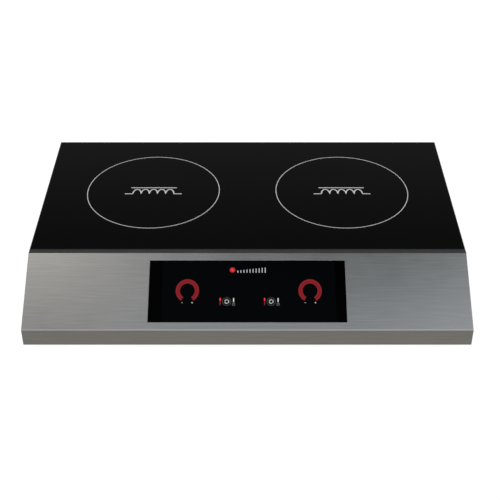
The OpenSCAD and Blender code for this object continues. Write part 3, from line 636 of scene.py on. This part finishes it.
def artwork(name, bands, place, material, closed=False, thickness=0.03 * MM):
    """One piece made of flat bands, drawn in millimetres and put in the row frame by place."""
    mesh = bmesh.new()
    for rails in bands:
        metric = [[(x * MM, y * MM) for x, y in rail] for rail in rails]
        add_band(mesh, metric, closed, thickness)
    bmesh.ops.recalc_face_normals(mesh, faces=mesh.faces)
    data = bpy.data.meshes.new(name)
    mesh.to_mesh(data)
    mesh.free()
    data.transform(place)
    data.materials.append(material)
    piece = bpy.data.objects.new(name, data)
    bpy.context.scene.collection.objects.link(piece)
    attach(piece, "case")
    return piece


def glass_print_painted_glow():
    """Light grey ceramic ink, fired on to the glass, with a painted glow: the ink gives off a little light
    of its own, though it is no lamp.
    """
    f = Finish("glass_print_painted_glow", Metallic=0.0)
    speckle = f.noise(0.5 * MM, detail=3, rough=0.7)
    f.colour(speckle, 0.9, 1.0)
    # Painted glow: the print emits a little light, so it looks brighter than the lamps alone make it.
    f.set(Emission_Color=(0.9, 0.9, 0.88), Emission_Strength=0.12)
    f.rough(speckle, 0.4, 0.6)
    f.bump(speckle, 0.01 * MM)
    return f.material


def lit_mark(name, colour):
    """A lit mark of the display, with a fine grain."""
    f = Finish(name, Metallic=0.0, Specular_IOR_Level=0.07, Emission_Strength=1.0)
    f.set(Base_Color=(0.001, 0.001, 0.001))
    grain = f.noise(0.25 * MM, detail=1)
    dim = tuple(c * 0.9 for c in colour)
    f.feed(f.shader.inputs["Emission Color"], f.ramp(grain, [(0.3, dim), (0.7, colour)]))
    f.rough(grain, 0.1, 0.2)
    f.bump(grain, 0.005 * MM)
    return f.material


def coil_line(half_w, base_y, loops, loop_w, loop_h):
    """A line that rises in a row of humps between two straight ends."""
    points = [(-half_w, base_y)]
    for i in range(loops):
        middle_x = loop_w * (i + 0.5 - loops / 2)
        hump = [(middle_x + x * loop_w / 2, base_y + y * loop_h) for x, y in arc(1, 180, 0, 16)]
        points += hump if i == 0 else hump[1:]
    return points + [(half_w, base_y)]


def add_zone_prints():
    """A ring round each cooking zone, and an induction symbol in the middle: a coil under a pan."""
    # The ink of the rings and symbols carries a painted glow as well as its grey colour.
    ink = glass_print_painted_glow()
    circle = ring(inner=120.2, outer=121.6, count=160)
    line = 2.4
    coil = stroke(coil_line(half_w=52, base_y=-10, loops=5, loop_w=15, loop_h=15), line)
    pan = bar(x=0, y=10.5, width=84, height=line)
    for name in SIDES:
        winding_low, winding_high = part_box("coil_winding_" + name)
        middle = (winding_low + winding_high) / 2
        place = Matrix.Translation((middle.x, middle.y, glass_high.z))
        artwork("zone_ring_" + name, [circle], place, ink, closed=True)
        artwork("zone_symbol_" + name, [coil, pan], place, ink)


def slope_place():
    """Places drawings on the display's outer face: X across, Y up the slope from its middle."""
    faces = NODES["display_glass"].data.polygons
    outer = max((p for p in faces if p.normal.z > 0.5), key=lambda p: p.area)
    normal = outer.normal.normalized()
    up = Vector((0, normal.z, -normal.y))
    corners = [NODES["display_glass"].data.vertices[i].co for i in outer.vertices]
    off = corners[0].dot(normal)
    middle = (display_low + display_high) / 2
    middle += normal * (off - middle.dot(normal))
    return Matrix((
        (1, 0, normal.x, middle.x),
        (0, up.y, normal.y, middle.y),
        (0, up.z, normal.z, middle.z),
        (0, 0, 0, 1)))


class Display:
    """Lit marks on the display's face, drawn in millimetres from its middle."""

    COLOURS = {
        "red": (0.262, 0.0165, 0.0225),
        "dull_red": (0.205, 0.0125, 0.017),
        "bright_red": (1.0, 0.045, 0.06),
        "status_red": (0.5, 0.028, 0.038),
        "low_red": (0.34, 0.02, 0.028),
        "last_red": (0.16, 0.012, 0.016),
        "white": (0.8, 0.82, 0.82),
        "soft_white": (0.6, 0.62, 0.62),
        "pale": (0.5, 0.51, 0.51),
        "faint": (0.3, 0.31, 0.31),
        "grey": (0.16, 0.16, 0.165),
        "dim_grey": (0.1, 0.1, 0.105),
    }

    def __init__(self):
        self.place = slope_place()
        self.inks = {name: lit_mark("lit_" + name, colour) for name, colour in self.COLOURS.items()}

    def draw(self, name, bands, ink, closed=False):
        artwork(name, bands, self.place, self.inks[ink], closed)


def add_power_control(display, name, x):
    """An open ring in three bands, with a minus and a plus under its gap."""
    middle = (x, 0.4)
    half_gap = 31.5
    squeeze = 0.94
    mark_x = 8.4
    mark_y = -20.9
    line = 1.1
    arm = 2.5
    half_arm = (arm - line) / 2

    def open_ring(inner, outer):
        return narrowed(arc_band(inner, outer, half_gap - 90, 270 - half_gap, middle), x, squeeze)

    display.draw("power_ring_" + name, [open_ring(17.9, 20.7), open_ring(13.2, 15.5)], "red")
    display.draw("power_ring_middle_" + name, [open_ring(15.5, 17.9)], "dull_red")
    display.draw("minus_mark_" + name, [bar(x - mark_x, mark_y, arm, line)], "faint")
    plus_x = x + mark_x
    off = (line + half_arm) / 2
    upright = bar(plus_x, mark_y, line, arm)
    arms = [bar(plus_x + way * off, mark_y, half_arm, line) for way in (-1, 1)]
    display.draw("plus_mark_" + name, [upright, *arms], "pale")


def add_level_bar(display, name, x, y):
    """Four blocks one above the other, the top one tall and bright."""
    width = 2.2
    display.draw("level_bar_top_" + name, [bar(x, y + 3.7, width, 5)], "bright_red")
    display.draw("level_bar_middle_" + name, [bar(x, y - drop, width, 1.7) for drop in (1, 3.5)], "low_red")
    display.draw("level_bar_bottom_" + name, [bar(x, y - 5.9, width, 1.6)], "last_red")


def add_mode_button(display, name, x, y):
    """A thin circle round three arrows that chase each other."""
    sweep = 104
    arrows = [arc_band(2.4, 4.0, start, start + sweep, (x, y), 10) for start in (70, 190, 310)]
    display.draw("mode_button_" + name, [ring(6.7, 7.3, 60, (x, y))], "dim_grey", closed=True)
    display.draw("mode_arrows_" + name, arrows, "pale")


def add_heat_mark(display, name, x, y):
    """A thermometer: a bright stem, a neck and a round bulb."""
    display.draw("heat_mark_stem_" + name, [bar(x, y + 2.7, 1.6, 6.6)], "white")
    display.draw("heat_mark_neck_" + name, [bar(x, y - 1.5, 1.4, 1.8)], "grey")
    display.draw("heat_mark_bulb_" + name, [ring(1.6, 2.5, 24, (x, y - 4.9))], "grey", closed=True)


def add_mode_control(display, name, x):
    """A mode button between a level bar and a temperature mark."""
    y = -18.9
    add_mode_button(display, name, x, y)
    add_level_bar(display, name, x - 11, y)
    add_heat_mark(display, name, x + 11.3, y)


def add_status_marks(display):
    """A status light, and a row of bars that grow to the right."""
    light = (-25, 38)
    display.draw("status_light", [ring(2.4, 4.7, 36, light)], "status_red", closed=True)
    display.draw("status_light_middle", [disc(2.3, light)], "bright_red")
    first_x = -16
    base_y = 33
    spacing = 5.1
    heights = [4 + i * 0.6 for i in range(10)]
    bars = [bar(first_x + i * spacing, base_y + high / 2, 1.3, high) for i, high in enumerate(heights)]
    display.draw("status_bars", bars, "soft_white")


def add_display_artwork():
    """The lit controls: for each zone a power control, and a mode control nearer the middle."""
    display = Display()
    power_x = 102
    mode_x = 36.8
    mode_shift = 2.7
    for name, side in SIDES.items():
        add_power_control(display, name, PANEL_SHIFT + side * power_x)
        add_mode_control(display, name, mode_shift + side * mode_x)
    add_status_marks(display)


# ---- Pieces that stand for CAD nodes ----

def flexible_copy(node):
    """A copy of a CAD node's mesh, with the finish of the node's slot, that stands for the node, which is
    hidden.
    """
    piece = bpy.data.objects.new(node + "_flexed", NODES[node].data.copy())
    bpy.context.scene.collection.objects.link(piece)
    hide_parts(node)
    slot = next(p["material_slot"] for p in frame["record"]["subparts"] if p["node"] == node)
    paint(piece, slot)
    return piece


def add_springs_and_leads():
    """Copies of the coil springs, attached to the case, of the sensor springs, attached to the coils, and
    of the coil leads stand for the CAD nodes.
    """
    for side in SIDES:
        for node, body, joint in (
            ("coil_springs_" + side, "case", "coil_" + side + "_float"),
            ("sensor_spring_" + side, "coil_" + side, "sensor_" + side + "_press"),
        ):
            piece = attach(flexible_copy(node), body)
            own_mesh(piece)
        leads = flexible_copy("coil_leads_" + side)
        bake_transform(leads)


def add_strand(mesh, points, radius):
    """A square wire through points, with closed ends."""
    rings = []
    for i, here in enumerate(points):
        along = (points[min(i + 1, len(points) - 1)] - points[max(i - 1, 0)]).normalized()
        aside = along.cross(Vector((0, 0, 1))).normalized() * radius
        above = aside.cross(along).normalized() * radius
        rings.append([mesh.verts.new(here + d) for d in (aside, above, -aside, -above)])
    for ring, following in zip(rings, rings[1:]):
        for k in range(4):
            n = (k + 1) % 4
            mesh.faces.new((ring[k], ring[n], following[n], following[k]))
    mesh.faces.new(rings[0][::-1])
    mesh.faces.new(rings[-1])


def add_filter_weave():
    """Woven wire cloth in the filter's frame. It stands for the plain sheet of the CAD model."""
    low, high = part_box("filter_mesh")
    pitch = 2.4 * MM
    radius = (high.z - low.z) / 4
    middle_z = (low.z + high.z) / 2
    across = int((high.x - low.x) / pitch)
    along = int((high.y - low.y) / pitch)
    step_x = (high.x - low.x) / across
    step_y = (high.y - low.y) / along

    def crossing(i, j, way):
        """Where wires i and j cross, on the upper or the lower side of the cloth's middle."""
        z = middle_z + way * radius * (-1) ** (i + j)
        return Vector((low.x + (i + 0.5) * step_x, low.y + (j + 0.5) * step_y, z))

    mesh = bmesh.new()
    for j in range(along):
        add_strand(mesh, [crossing(i, j, 1) for i in range(across)], radius)
    for i in range(across):
        add_strand(mesh, [crossing(i, j, -1) for j in range(along)], radius)
    bmesh.ops.recalc_face_normals(mesh, faces=mesh.faces)
    data = bpy.data.meshes.new("filter_weave")
    mesh.to_mesh(data)
    mesh.free()
    piece = bpy.data.objects.new("filter_weave", data)
    bpy.context.scene.collection.objects.link(piece)
    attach(piece, "air_filter")
    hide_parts("filter_mesh")
    paint(piece, "filter_steel_mesh")


paint_nodes()
add_zone_prints()
add_display_artwork()
add_springs_and_leads()
add_filter_weave()
